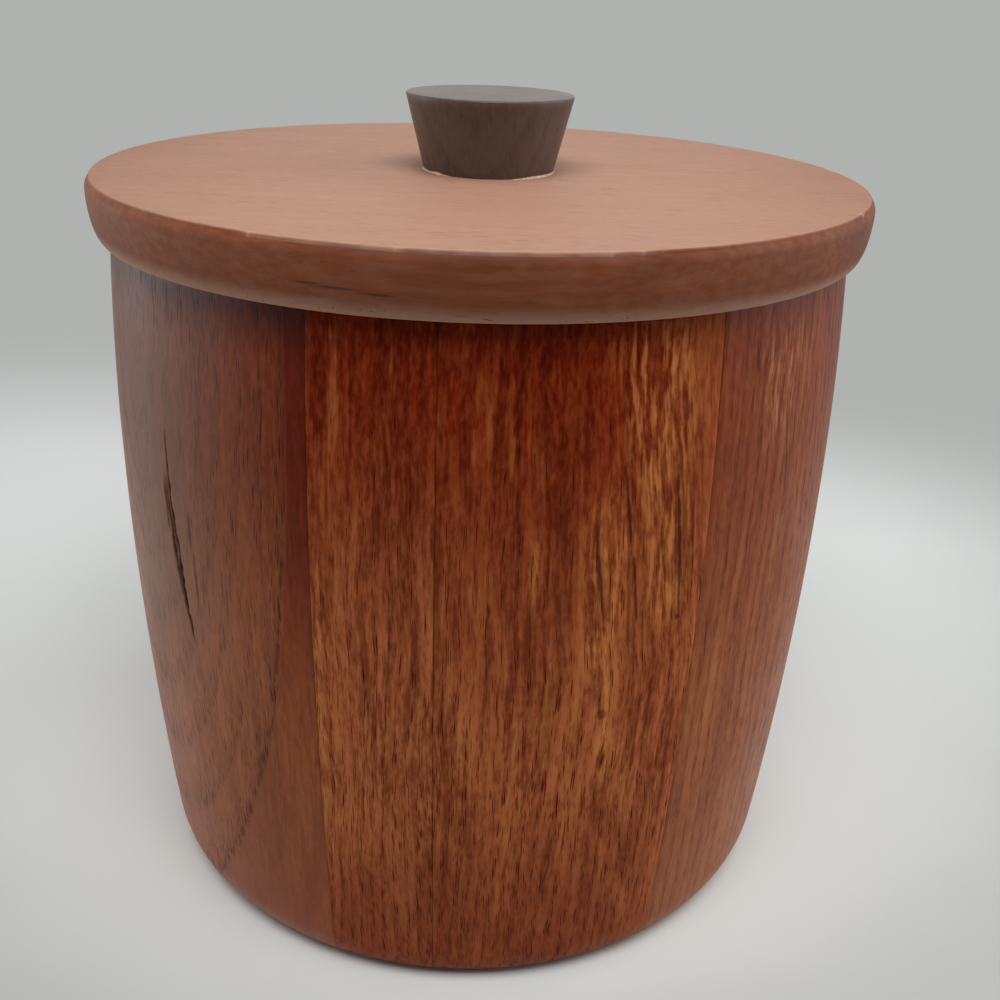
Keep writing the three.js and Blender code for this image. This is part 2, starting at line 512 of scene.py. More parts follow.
# Tints that multiply the wood's colour, colours that replace it, and how far two of them do
EARLY_WOOD_TINT = (0.75, 0.66, 0.6)
PORE_TINT = (0.24, 0.09, 0.055)
CALM_TINT = (0.68, 0.3, 0.13)
CALM_BORDER_TINT = (0.62, 0.46, 0.4)
# Tints of the lid's painted shade and oil, and of its deepest painted shade
OIL_AND_SHADE_TINT = (0.42, 0.185, 0.07)
DEEPEST_SHADE_TINT = (0.66, 0.62, 0.6)
# Grey of the painted sheen
SHEEN_GREY = (0.235, 0.16, 0.125)
# Dark inside knots, open pores and seams, and the painted shade inside the split
DARK_MARKS_AND_SHADE = (0.035, 0.01, 0.005)
# How far the painted sheen, and the lid's pale worn edge with its painted highlight, replace the wood's
# colour
SHEEN_SHARE = 0.6
PALE_EDGE_SHARE = 0.6


class Wood(Graph):
    """The material of one board, with its places and the noises that several of its looks share."""

    def __init__(self, name, board):
        super().__init__(bpy.data.materials.new(name))
        self.board = board
        self.place = self.object_mm()
        self.along = self.dot(self.place, board.grain)
        self.face = self.dot(self.place, board.across)
        self.across = self.minus(self.face, board.pith[0])
        self.depth = self.minus(self.dot(self.place, board.through), board.pith[1])
        # The lid's share of painted shade and oil
        self.shade_and_oil = self.attribute("shade_and_oil")

        # The fibres stray slowly from side to side, and the rings waver with them
        self.stray = self.minus(self.field(0.05, 45, 3.1, self.across, detail=2.0), 0.5)
        self.strand = self.plus(self.across, self.times(self.stray, 4 * board.wave))
        if board.slant:
            lean_over, low, high = board.slant
            right = self.step(self.face, -SLANT_EASE, SLANT_EASE)
            leaning = self.times(right, self.rise(low, high, -lean_over / 2, lean_over / 2))
            self.strand = self.plus(self.strand, leaning)
        centre_out = self.minus(self.depth, self.times(self.along, board.lean))
        square = self.plus(self.math("POWER", self.strand, 2.0), self.math("POWER", centre_out, 2.0))
        radius = self.math("SQRT", square)
        year = self.math("FRACT", self.over(radius, board.ring))
        self.early = self.times(self.step(year, 0.45, 0.9), self.step(year, 0.96, 1.0, 1.0, 0.0))
        self.inside_calm = self.minus(board.calm, radius)

        # Fine fibres, and a ripple across the grain, which roughens the edges of marks too
        self.fibre = self.field(1.5, 9, 23.9, self.strand, detail=4.0, roughness=0.6)
        self.ripple = self.field(0.9, 3.0, 27.7, self.strand, detail=4.0, roughness=0.6)

    def field(self, fineness, length, offset, side, **noise_settings):
        """Noise with so many grains to the millimetre across the fibres and so long along them."""
        seed = self.board.seed * 13.7 + offset
        vector = self.vector(
            self.plus(self.times(side, fineness), seed),
            self.plus(self.times(self.depth, fineness), seed * 1.7),
            self.plus(self.over(self.along, length), seed * 0.6),
        )
        return self.noise(vector, **noise_settings)

    def rise(self, low, high, out_low, out_high):
        """A straight rise from out_low to out_high between two places along the grain."""
        return self.ramp(self.along, low, high, out_low, out_high, "LINEAR")

    def red_side(self, value, weakest):
        """The value, weaker towards the side of the face that is lit more, where pores thin out and painted
        shade fades.
        """
        if not self.board.red_side:
            return value
        return self.times(value, self.step(self.face, *self.board.red_side, 1.0, weakest))


def pore_crowding(w):
    """The share of cells that hold a pore."""
    patchy = w.step(w.field(0.07, 40, 9.7, w.across), 0.3, 0.7, 0.6, 1.3)
    in_rows = w.plus(w.times(w.early, 2 * w.board.rows), 1 - w.board.rows)
    crowding = w.minus(w.board.pores, w.times(w.along, w.board.thinning))
    crowding = w.red_side(w.times(crowding, patchy, in_rows), 0.65)
    if w.board.calm:
        crowding = w.most(crowding, w.step(w.inside_calm, 5.0, 0.4, 0.0, 1.0))
        crowding = w.times(crowding, w.step(w.inside_calm, 0.0, 0.5, 0.06, 1.0))
    return crowding


def pore_layer(w, crowding, width, length, thick, offset):
    """Long narrow pores, one to a cell at most."""
    seed = w.board.seed * 7.3 + offset
    side = w.plus(w.strand, w.times(w.depth, w.board.skew))
    end = w.plus(w.along, w.times(w.depth, w.board.roll))
    vector = w.vector(w.plus(w.over(side, width), seed), w.plus(w.over(end, length), seed * 0.7), 0.0)
    distance, number = w.cells(vector)
    size = w.step(w.minus(crowding, number), 0.0, 0.5, 0.5 * thick, thick)
    open_pore = w.step(w.minus(size, distance), 0.0, 0.4 * thick)
    return w.times(open_pore, w.math("GREATER_THAN", crowding, number))


def pores(w):
    """How dark the pores are: fainter where hands have filled them, and at a worn foot."""
    crowding = pore_crowding(w)
    fine = w.times(pore_layer(w, crowding, *FINE_PORES), FINE_PORE_SHADE)
    pore = w.most(pore_layer(w, crowding, *COARSE_PORES), fine)
    filled_shade = FILLED_PORE_SHADE * w.board.pore_shade
    pore = w.times(pore, w.step(w.shade_and_oil, 0.0, 1.0, w.board.pore_shade, filled_shade))
    if w.board.rubbed_and_painted_light:
        pore = w.times(pore, w.rise(*w.board.rubbed_and_painted_light, 0.85, 1.1))
    return pore


def streaks(w):
    """The plain wood's colour, with broad and narrow streaks, fibres and the ripple."""
    board = w.board
    broad = w.field(0.11, 110, 17.3, w.strand)
    narrow = w.field(0.45, 40, 19.9, w.strand)
    streak = w.weighted((broad, 0.2), (narrow, 0.3), (w.fibre, 0.3), (w.ripple, 0.25))
    full_reach = STREAK_REACH / board.contrast
    oiled_reach = OILED_STREAK_REACH / board.contrast
    reach = w.step(w.shade_and_oil, 0.0, FULL_OIL_AND_SHADE, full_reach, oiled_reach)
    if board.rubbed_and_painted_light:
        reach = w.times(reach, w.rise(*board.rubbed_and_painted_light, 2.4, 1.05), w.rise(*board.upper_shade, 1.0, 1.35))
    streak = w.step(streak, w.minus(USUAL_STREAK, reach), w.plus(USUAL_STREAK, reach))
    return w.mix(streak, board.dark, board.light)


def flame(w, low_end, high_end):
    """A golden band of ragged tongues between two ends, each as across, along and half width."""
    low_face, low, low_width = low_end
    high_face, high, high_width = high_end
    aside = w.math("ABSOLUTE", w.minus(w.face, w.rise(low, high, low_face, high_face)))
    aside = w.over(aside, w.rise(low, high, low_width, high_width))
    from_low = w.step(w.along, low - FLAME_EASE_OUT, low + FLAME_EASE_IN)
    to_high = w.step(w.along, high - FLAME_EASE_IN, high + FLAME_EASE_OUT, 1.0, 0.0)
    ragged = w.field(0.7, 12, 33.7, w.strand, detail=4.0)
    tongues = w.weighted((ragged, 0.6), (w.fibre, 0.25), (w.ripple, 0.15))
    band = w.times(w.step(aside, 0.2, 1.2, 1.0, 0.0), w.step(tongues, 0.42, 0.6))
    return w.times(band, from_low, to_high, FLAME_STRENGTH)


def golden(w):
    """The share of golden figure: patches all over the board, and its flames."""
    patch = w.field(0.3, 30, 29.1, w.strand, detail=4.0, roughness=0.6)
    gold = w.step(patch, 0.52, 0.7, 0.0, w.board.figure)
    for low_end, high_end in w.board.flames:
        gold = w.most(gold, flame(w, low_end, high_end))
    return gold


def calmed(w, colour):
    """Redder wood without pores outside the calm radius, and a dotted border along it."""
    outside = w.step(w.inside_calm, -0.4, 0.2, 1.0, 0.0)
    colour = w.shaded(colour, w.times(outside, w.step(w.along, 40, 140, 0.2, 1.0)), CALM_TINT)
    border = w.step(w.math("ABSOLUTE", w.minus(w.inside_calm, 0.5)), 0.2, 0.8, 1.0, 0.0)
    return w.shaded(colour, w.times(border, w.step(w.ripple, 0.45, 0.58)), CALM_BORDER_TINT)


def painted_sheen(w, colour):
    """Painted sheen: wood made grey on the left of the face."""
    grey = w.times(
        w.step(w.face, *w.board.grey_side, SHEEN_SHARE, 0.0),
        w.step(w.along, *SHEEN_START),
        w.step(w.along, *SHEEN_WEAKENS, 1.0, 0.6),
        w.step(w.face, *SHEEN_FROM_SEAM, 0.15, 1.0),
    )
    return w.mix(grey, colour, SHEEN_GREY)


def painted_shade_and_sheen(w, colour, gold):
    """Tints of painted shade at the foot, on the upper wall and just under the lid, and a painted sheen on
    the left.
    """
    board = w.board
    if board.rubbed_and_painted_light:
        # Painted shade at the foot, weaker on the lit side
        near_foot = w.red_side(w.step(w.along, *board.rubbed_and_painted_light, 1.0, 0.0), 0.4)
        colour = w.shaded(colour, near_foot, board.foot)
    if board.upper_shade:
        # Painted shade on the upper wall, in blotches, weaker in the golden figure
        blotchy = w.times(w.step(w.ripple, 0.38, 0.62, 1.0, 0.85), w.step(gold, 0.0, 1.0, 1.0, 0.15))
        darker = w.times(w.step(w.along, *board.upper_shade), w.red_side(blotchy, 0.5))
        colour = w.shaded(colour, darker, board.deep)
        if board.grey_side:
            colour = painted_sheen(w, colour)
        # The lid's painted shadow just under it
        colour = w.shaded(colour, w.step(w.along, *SHADED_BY_LID), board.under_lid)
    return colour


def oiled_and_shaded(w, colour):
    """Darker wood where hands left oil on the lid and where shade is painted, and duller where the painted
    shade is deepest.
    """
    uneven = w.step(w.field(0.6, 22, 43.3, w.across, detail=4.0), 0.35, 0.65, 0.9, 1.0)
    colour = w.shaded(colour, w.times(w.step(w.shade_and_oil, 0.0, FULL_OIL_AND_SHADE), uneven), OIL_AND_SHADE_TINT)
    return w.shaded(colour, w.step(w.shade_and_oil, FULL_OIL_AND_SHADE, 1.0), DEEPEST_SHADE_TINT)


def mark_shade(w, mark):
    """How dark one mark makes a place, with ragged edges."""
    away = w.vector_math("SUBTRACT", {0: w.place, 1: mark.centre})[0]
    aside = w.plus(w.dot(away, w.board.across - w.board.grain * mark.tilt), w.times(w.stray, 3.0))
    gap = w.length(w.vector(
        w.over(aside, mark.half_width),
        w.over(w.dot(away, w.board.through), mark.depth),
        w.over(w.dot(away, w.board.grain), mark.half_length),
    ))
    ragged = w.plus(gap, w.times(w.minus(w.ripple, 0.5), 1.2))
    return w.step(ragged, 0.5, 1.1, mark.shade, 0.0)


def marked(w, colour, marks):
    """Knots and open pores are dark inside, and so are seams; the split has painted shade inside; the lid's
    top edge is paler where worn and where a highlight is painted.
    """
    hollow = w.attribute("dark_seams_and_split_shade")
    for mark in marks:
        hollow = w.most(hollow, mark_shade(w, mark))
    colour = w.mix(hollow, colour, DARK_MARKS_AND_SHADE)
    patchy = w.step(w.field(0.4, 6, 37.1, w.across), 0.35, 0.65, 0.45, 1.0)
    return w.mix(w.times(w.attribute("wear_and_glint"), patchy, PALE_EDGE_SHARE), colour, w.board.glow)


def wood(name, board, marks=()):
    """Oiled wood: growth rings, dark pores along the grain, streaks, golden figure and marks."""
    w = Wood(name, board)
    pore = pores(w)
    gold = golden(w)
    colour = w.mix(gold, streaks(w), board.glow)
    colour = w.shaded(colour, w.times(w.early, 0.7 * board.rows), EARLY_WOOD_TINT)
    if board.calm:
        colour = calmed(w, colour)
    colour = w.shaded(colour, pore, PORE_TINT)
    colour = marked(w, oiled_and_shaded(w, painted_shade_and_sheen(w, colour, gold)), marks)
    polish = w.times(w.minus(w.field(0.05, 30, 41.3, w.across), 0.5), POLISH_RANGE)
    roughness = w.plus(w.plus(polish, board.roughness), w.times(pore, PORE_ROUGHNESS))
    w.surface({"Base Color": colour, "Roughness": roughness, "Specular IOR Level": board.shine})
    w.bump(0.5, PORE_DEPTH, w.minus(w.times(w.fibre, 0.3), pore))
    return w.owner


# Staves

# Tints of the painted shade on the upper wall
RED_DEEP = (0.43, 0.13, 0.035)
BROWN_DEEP = (0.52, 0.25, 0.13)
RIGHT_SLANT = (7.5, 86, 150)

# Boards from the left of the front on: azimuth, the pith's side, depth and lean, and then the looks
STAVE_BOARDS = [
    upright_board(
        -48, -10, 51.6, 0.33, ring=5.0, calm=45.0, figure=0.1, wave=0.4, pores=0.65, rows=0.4,
        shine=0.14, roughness=0.36, contrast=0.8, upper_shade=(72, 140), deep=(0.55, 0.29, 0.16),
        foot=(0.95, 0.85, 0.85), grey_side=(-13, 37), under_lid=(0.5, 0.4, 0.36),
        dark=(0.215, 0.06, 0.018), light=(0.385, 0.117, 0.037), glow=(0.45, 0.18, 0.07),
    ),
    upright_board(
        -13, 120, 70, 0.0, ring=2.2, figure=0.45, pores=1.5, thinning=0.009, shine=0.04,
        upper_shade=(78, 150), deep=RED_DEEP, foot=(0.72, 0.58, 0.54),
        flames=(((-11.8, 64, 1.3), (-11.6, 104, 1.3)),),
        dark=(0.225, 0.047, 0.0145), light=(0.54, 0.162, 0.058), glow=(0.64, 0.25, 0.08),
    ),
    upright_board(
        14, 110, 60, 0.0, ring=2.2, figure=0.35, wave=0.9, pores=1.5, thinning=0.009, shine=0.04,
        upper_shade=(64, 150), deep=RED_DEEP, red_side=(6, 26), foot=(0.74, 0.6, 0.56), slant=RIGHT_SLANT,
        flames=(
            ((19.0, 100, 6), (13.0, 155, 13)),
            ((5.0, 90, 6), (5.5, 122, 8)),
            ((8.0, 62, 2.2), (7.0, 88, 3.4)),
            ((-9.5, 107, 1.8), (-9.3, 114, 1.8)),
            ((-22.0, 67, 1.5), (-22.0, 75, 1.5)),
        ),
        dark=(0.22, 0.044, 0.013), light=(0.51, 0.146, 0.05), glow=(0.68, 0.26, 0.07),
    ),
    upright_board(
        54, -100, 60, 0.0, ring=3.0, pores=0.9, pore_shade=0.75, shine=0.15,
        contrast=0.85, flames=(((-11.0, 134, 11), (-12.0, 150, 14)),), slant=RIGHT_SLANT,
        dark=(0.235, 0.056, 0.015), light=(0.41, 0.12, 0.034), glow=(0.52, 0.24, 0.09),
    ),
    upright_board(
        93, 0, 46, 0.12, ring=5.5, pores=0.55, rows=0.85,
        dark=(0.2, 0.044, 0.016), light=(0.35, 0.09, 0.034), glow=(0.48, 0.18, 0.068),
    ),
    upright_board(
        135, 110, 70, 0.0, ring=2.4, figure=0.45, pores=0.85, thinning=0.003, deep=BROWN_DEEP,
        dark=(0.2, 0.035, 0.01), light=(0.44, 0.105, 0.034), glow=(0.57, 0.2, 0.065),
    ),
    upright_board(
        179, 0, 40, -0.14, ring=5.0, pores=0.5, rows=0.9,
        dark=(0.19, 0.046, 0.02), light=(0.3, 0.085, 0.042), glow=(0.43, 0.16, 0.075),
    ),
    upright_board(
        221, -100, 60, 0.0, ring=2.6, figure=0.5, pores=0.8, thinning=0.003, deep=BROWN_DEEP,
        dark=(0.2, 0.035, 0.01), light=(0.42, 0.1, 0.034), glow=(0.57, 0.2, 0.065),
    ),
    upright_board(
        265, 0, 50, 0.13, ring=5.5, figure=0.2, pores=0.55, rows=0.85,
        dark=(0.2, 0.042, 0.017), light=(0.33, 0.088, 0.038), glow=(0.46, 0.17, 0.07),
    ),
]

# The drying split on the left stave: its ends in degrees and millimetres
SPLIT_TOP = (-47.4, 129.0)
SPLIT_BOTTOM = (-44.2, 78.0)
SPLIT_BOW = 1.4
SPLIT_REACH = 2.4
SPLIT_COLUMNS = 16  # columns of points on each side of its middle line
SPLIT_EASE = 20.0  # degrees from a seam in which the columns start to follow it
SPLIT_SHADE = 2.5  # painted shade inside it, per millimetre of depth
MARK_SUNK = 0.5  # depth of a mark's middle under the wall's surface


@dataclass
class Crack:
    """One of the splits side by side, as shares of the whole split's length."""

    top: float
    bottom: float
    side: float  # millimetres to the right of the split's middle line
    width: float
    depth: float


CRACKS = [
    Crack(top=0.0, bottom=0.58, side=0.2, width=0.5, depth=0.6),
    Crack(top=0.2, bottom=0.8, side=-0.8, width=0.6, depth=0.65),
    Crack(top=0.22, bottom=0.5, side=-1.7, width=0.36, depth=0.4),
    Crack(top=0.36, bottom=0.76, side=0.9, width=0.5, depth=0.55),
    Crack(top=0.55, bottom=1.0, side=0.1, width=0.7, depth=0.85),
]


def split_middle(height):
    """Azimuth of the split's middle line at a height, and the share of its length from its top."""
    share = (SPLIT_TOP[1] - height) / (SPLIT_TOP[1] - SPLIT_BOTTOM[1])
    held = clamp(share)
    bow = wall_degrees(SPLIT_BOW) * sin(pi * held)
    return SPLIT_TOP[0] + (SPLIT_BOTTOM[0] - SPLIT_TOP[0]) * held - bow, share


def split_depth(side, share):
    """Depth of the split that far to the side of its middle line."""
    deepest = 0.0
    for crack in CRACKS:
        part = (share - crack.top) / (crack.bottom - crack.top)
        if 0 < part < 1:
            ragged = 1 + 0.7 * noise.noise(Vector((share * 34, crack.side, 7.0)))
            swell = sin(pi * part) ** 0.7 * ragged
            wander = 0.4 * noise.noise(Vector((share * 14, crack.side, 3.0)))
            near = 1 - abs(side - crack.side - wander) / (crack.width * swell)
            deepest = max(deepest, crack.depth * swell * clamp(1.6 * near))
    return deepest


def wall_waver(azimuth, height, stave):
    """Hand-finished unevenness of the turned wall, in millimetres."""
    place = at(azimuth, BELLY_RADIUS, height) / MM
    broad = noise.noise(place * 0.022 + Vector((stave * 9.1, 0, 0)))
    fine = noise.noise(place * 0.09 + Vector((0, stave * 5.7, 0)))
    return BROAD_WAVER * broad + FINE_WAVER * fine


def seam_darkness(shade, height):
    """A seam's shade at a height: broken up along the lower wall, and plain near the rim."""
    if height >= DARK_SEAM_TOP:
        return min(shade, SEAM_SHADE)
    broken = 0.6 + 1.2 * noise.noise(Vector((height * SEAM_BREAKS, 1.5, 0.5)))
    return shade * min(1.0, max(0.2, broken))


def stave_columns(start, end, splits):
    """Azimuths of a stave's columns of points, with a close fan across the split where it has one."""
    arris = wall_degrees(ARRIS_WIDTH)
    count = round((end - start) / STAVE_COLUMN)
    between = [start + arris + (end - start - 2 * arris) * (i / count) for i in range(count + 1)]
    azimuths = [start] + between + [end]
    if not splits:
        return azimuths
    reach = wall_degrees(SPLIT_REACH)
    fan = [SPLIT_TOP[0] + reach * i / SPLIT_COLUMNS for i in range(-SPLIT_COLUMNS, SPLIT_COLUMNS + 1)]
    return sorted([a for a in azimuths if abs(a - SPLIT_TOP[0]) > reach] + fan)


def swept_faces(columns, rows):
    """Faces of a closed outline swept through columns of points, with both ends closed."""
    faces = []
    for c in range(columns - 1):
        near = c * rows
        far = near + rows
        for i in range(rows):
            j = (i + 1) % rows
            faces.append([near + i, far + i, far + j, near + j])
    last = (columns - 1) * rows
    faces.append(list(range(rows)))
    faces.append([last + i for i in reversed(range(rows))])
    return faces


def stave_piece(index, left_seam, right_seam, material):
    """One stave: outside, rim, bore and foot swept between its seams, with both joint faces."""
    outside = outer_side()
    profile = outside + inner_side()
    half_gap = wall_degrees(SEAM_GAP / 2)
    start = left_seam + half_gap
    end = right_seam - half_gap
    splits = start < SPLIT_TOP[0] < end
    azimuths = stave_columns(start, end, splits)
    vertices = []
    dark_seams_and_split_shade = []
    for azimuth in azimuths:
        on_arris = azimuth in (start, end)
        seam_shade = SEAM_SHADES.get(left_seam if azimuth == start else right_seam, SEAM_SHADE)
        for i, (radius, height) in enumerate(profile):
            is_outside = i < len(outside)
            place = azimuth
            hollow = 0.0
            if is_outside:
                radius += wall_waver(azimuth, height, index)
                radius -= ARRIS_DEPTH if on_arris else 0.0
            if splits:
                middle, share = split_middle(height)
                from_seam = min(azimuth - start, end - azimuth)
                place += (middle - SPLIT_TOP[0]) * min(1.0, from_seam / SPLIT_EASE)
                side = radians(azimuth - SPLIT_TOP[0]) * BELLY_RADIUS
                if is_outside and abs(side) < SPLIT_REACH:
                    hollow = split_depth(side, share)
                    radius -= hollow
            vertices.append(at(place, radius, height))
            # Seams are dark joints; the split gets painted shade by its depth
            dark_seams_and_split_shade.append(seam_darkness(seam_shade, height) if on_arris else min(1.0, hollow * SPLIT_SHADE))
    faces = swept_faces(len(azimuths), len(profile))
    obj = mesh_piece(f"stave_{index + 1}_wood", vertices, faces, material)
    point_values(obj, "dark_seams_and_split_shade", dark_seams_and_split_shade)
    stands_for(obj, f"stave_{index + 1}", "canister")


def wall_mark(azimuth, height, half_width, half_length, tilt=0.0, shade=0.72):
    """A mark on the wall, just under its surface, in degrees and millimetres."""
    centre = at(azimuth, BELLY_RADIUS - MARK_SUNK, height) / MM
    return Mark(centre, half_width, half_length, tilt, shade=shade)


# Dark marks of the wall, by the place of their stave in the list
STAVE_MARKS = {
    0: [wall_mark(-42.6, 106.5, 0.4, 5.5), wall_mark(-42.2, 96, 0.4, 8)],
    2: [
        wall_mark(18.3, 76, 1.5, 1.6, shade=0.62),
        wall_mark(28.1, 113, 0.45, 23, -0.12),
        wall_mark(29.3, 96.5, 0.7, 0.9),
        wall_mark(16.7, 108, 0.45, 16, -0.13),
        wall_mark(19.7, 123, 0.4, 11, -0.16),
        wall_mark(21.8, 105.5, 0.4, 9, -0.14),
    ],
    3: [wall_mark(48.1, 124.5, 0.4, 13, -0.16), wall_mark(39.1, 149.5, 0.4, 5, -0.2)],
}


def make_staves():
    ends = STAVE_SEAMS[1:] + [STAVE_SEAMS[0] + 360]
    for i, (start, end) in enumerate(zip(STAVE_SEAMS, ends)):
        board = replace(STAVE_BOARDS[i], seed=i + 1)
        material = wood(f"stave_{i + 1}_teak", board, STAVE_MARKS.get(i, ()))
        stave_piece(i, start, end, material)


# Lid

# Chips along the lid's top edge: azimuth in degrees, half length and depth in millimetres
EDGE_CHIPS = [
    (-26.5, 4.0, 0.12), (-23.5, 2.0, 0.1), (-9.0, 2.2, 0.12), (15.5, 3.5, 0.12), (18.5, 2.0, 0.1),
    (62, 2.5, 0.1), (101, 2.0, 0.12), (148, 3.0, 0.1), (193, 2.0, 0.12), (238, 3.0, 0.1), (281, 2.0, 0.12),
]

# Wear of the top edge, and its painted highlight along the front: millimetres, and degrees from the front
EDGE_DENT = 0.04
CHIP_DENT = 0.08  # depth from which the wood turns bare
DENT_INWARD = 0.6  # how far a dent goes inwards for each millimetre down
DENT_BAND = 3.0  # how far in from the widest radius a dent starts
DENT_BAND_EASE = 1.6
DENT_DROP = 2.0  # how far under the top a dent ends
DENT_DROP_EASE = 1.2
# Where the painted highlight runs along the front edge, how it eases in, and its share
FRONT_GLINT = (-30.0, 22.0)
GLINT_EASE = 6.0
GLINT_SHARE = 0.6

# Painted shade and oil on the lid: the front in degrees, and shares of the full shade
FRONT_SPAN = 36.0
FRONT_EDGE_SHADE = 0.2
RIGHT_DARKER = 0.15
LEFT_PALER = 0.18
TOP_ENDS_SHADE = 0.34
KNOB_SHADOW_SHARE = 0.36
KNOB_RING_WIDTH = 13.0
RIM_FOOT_SHARE = 0.08
RIM_SHARE_RISE = 1.9
FRONT_EDGE_START = 0.9  # share of the height up to the widest place
FRONT_EDGE_EASE = 0.3

# Dark streaks of the rim: azimuth in degrees, height over the underside and half length in millimetres
RIM_STREAKS = [(-19.5, 5.6, 3.0), (-16.0, 5.2, 4.5), (-11.5, 4.6, 4.0)]


def edge_dent(azimuth):
    """How far the lid's top edge is worn down at an azimuth, in millimetres."""
    dent = EDGE_DENT + EDGE_DENT * noise.noise(Vector((azimuth * 0.9, 0.0, 2.0)))
    for middle, half_length, depth in EDGE_CHIPS:
        away = abs(radians(from_front(azimuth - middle))) * LID_RADIUS / half_length
        if away < 1:
            ragged = 0.7 + 0.6 * abs(noise.noise(Vector((azimuth * 4, 5.0, 0.0))))
            dent += depth * (1 - away**2) * ragged
    return dent


def lid_dents(azimuth, radius, height):
    """The lid's points, with the top edge worn and chipped."""
    outward = clamp((radius - LID_RADIUS + DENT_BAND) / DENT_BAND_EASE)
    upward = clamp((height - LID_TOP + DENT_DROP) / DENT_DROP_EASE)
    dent = edge_dent(azimuth) * outward * upward
    return radius - dent * DENT_INWARD, height - dent


def edge_wear_and_glint(azimuth):
    """How pale the lid's top edge is: bare wood in the chips, and a painted highlight along the front."""
    turn = from_front(azimuth)
    low, high = FRONT_GLINT
    rubbed_and_painted_light = clamp(min(turn - low, high - turn) / GLINT_EASE)
    chipped = clamp(edge_dent(azimuth) / CHIP_DENT - 1)
    return max(GLINT_SHARE * rubbed_and_painted_light, chipped)


def shade_and_oil_share(azimuth, radius, height):
    """How dark the lid is with painted shade and oil: most at the front of its top edge, and less down
    its rim and on its top, whose ends and a ring round the knob have painted shade."""
    front = max(0.0, 1 - (from_front(azimuth) / FRONT_SPAN) ** 2)
    place = at(azimuth, radius, height) / MM
    blotch = 0.07 * noise.noise(place * 0.06) + 0.05 * noise.noise(place * 0.35)
    swing = sin(radians(azimuth))
    # Painted shade, darker on the right and paler on the left
    side = 1 + (RIGHT_DARKER if swing > 0 else -LEFT_PALER) * swing**2 + blotch
    if height > LID_TOP - LID_EDGE_ROUND:
        edge = clamp((radius - LID_RADIUS + LID_TOP_SET_BACK) / LID_EDGE_ROUND + 1)
        ring = clamp(1 - (radius - KNOB_FOOT_RADIUS) / KNOB_RING_WIDTH)
        # Painted shade at the ends of the top and in a ring round the knob
        held = max(TOP_ENDS_SHADE * (swing * radius / LID_RADIUS) ** 2, KNOB_SHADOW_SHARE * ring**2)
        return max(held, edge * (FULL_OIL_AND_SHADE * side + FRONT_EDGE_SHADE * front))
    if radius < LID_RADIUS - LID_UNDERCUT - 0.5:
        return 0.0
    rise = (height - LID_UNDERSIDE) / LID_WIDEST_HEIGHT
    # Painted shade under the front of the top edge
    front_edge_shade = FRONT_EDGE_SHADE * front * clamp((rise - FRONT_EDGE_START) / FRONT_EDGE_EASE)
    return side * min(FULL_OIL_AND_SHADE, RIM_FOOT_SHARE + RIM_SHARE_RISE * rise) + front_edge_shade


def make_lid():
    widest = (LID_RADIUS, LID_UNDERSIDE + LID_WIDEST_HEIGHT)
    under_radius = LID_RADIUS - LID_UNDERCUT
    top_edge = (LID_RADIUS - LID_TOP_SET_BACK, LID_TOP - LID_EDGE_ROUND)
    flat_radius = top_edge[0] - LID_EDGE_ROUND
    band_start = (top_edge[0] - LID_EDGE_BAND, LID_TOP)
    hole_low = (DOWEL_HOLE, LID_UNDERSIDE)
    hole_high = (DOWEL_HOLE, LID_TOP)
    profile = chain(
        line(hole_low, (under_radius, LID_UNDERSIDE), 12),
        arc(under_radius, widest[1], LID_UNDERCUT, -90, 0, 16, LID_WIDEST_HEIGHT),
        bulge(widest, top_edge, 10),
        arc(flat_radius, top_edge[1], LID_EDGE_ROUND, 0, 90, 6),
        line((flat_radius, LID_TOP), band_start, 6),
        line(band_start, hole_high, 30),
        [hole_high],
    )
    board = lying_board(
        -3, (30, LID_UNDERSIDE - 55), 0.03, ring=5.0, seed=12.0, figure=0.15, pores=0.3, skew=0.8, roll=9.0,
        contrast=0.13, rows=0.1, pore_shade=0.75, shine=0.28, roughness=0.65,
        # The lid's colours are its teak's, made paler and greyer for a painted sheen on its top
        dark=(0.4, 0.207, 0.136), light=(0.52, 0.29, 0.2), glow=(0.62, 0.38, 0.27),
    )
    marks = [
        Mark(at(azimuth, LID_RADIUS, LID_UNDERSIDE + height) / MM, 6.0, half_length, depth=0.3, shade=0.6)
        for azimuth, height, half_length in RIM_STREAKS
    ]
    obj = turned_piece("lid_board_wood", profile, LID_COLUMNS, wood("lid_teak", board, marks), lid_dents)
    shade_and_oil = []
    wear_and_glint = []
    for i in range(len(obj.data.vertices)):
        radius, height = profile[i // LID_COLUMNS]
        azimuth = 360 * (i % LID_COLUMNS) / LID_COLUMNS
        on_edge = height >= top_edge[1] and radius > top_edge[0] - 2 * LID_EDGE_ROUND
        shade_and_oil.append(shade_and_oil_share(azimuth, radius, height))
        wear_and_glint.append(edge_wear_and_glint(azimuth) if on_edge else 0.0)
    point_values(obj, "shade_and_oil", shade_and_oil)
    point_values(obj, "wear_and_glint", wear_and_glint)
    stands_for(obj, "lid_board", "lid")


# Plug, knob, dowel and base


def make_plug():
    board = lying_board(
        88, (-20, 80), 0.02, ring=5.5, seed=15.0,
        dark=(0.24, 0.07, 0.03), light=(0.4, 0.14, 0.06), glow=(0.52, 0.23, 0.1),
    )
    profile = chain(
        disc(PLUG_RADIUS - PLUG_ROUND, PLUG_BOTTOM, 8),
        arc(PLUG_RADIUS - PLUG_ROUND, PLUG_BOTTOM + PLUG_ROUND, PLUG_ROUND, -90, 0, 6),
        [(PLUG_RADIUS, LID_UNDERSIDE)],
        disc(PLUG_RADIUS, LID_UNDERSIDE, 8)[::-1],
    )
    obj = turned_piece("lid_plug_wood", profile, 180, wood("plug_teak", board))
    stands_for(obj, "lid_plug", "lid")


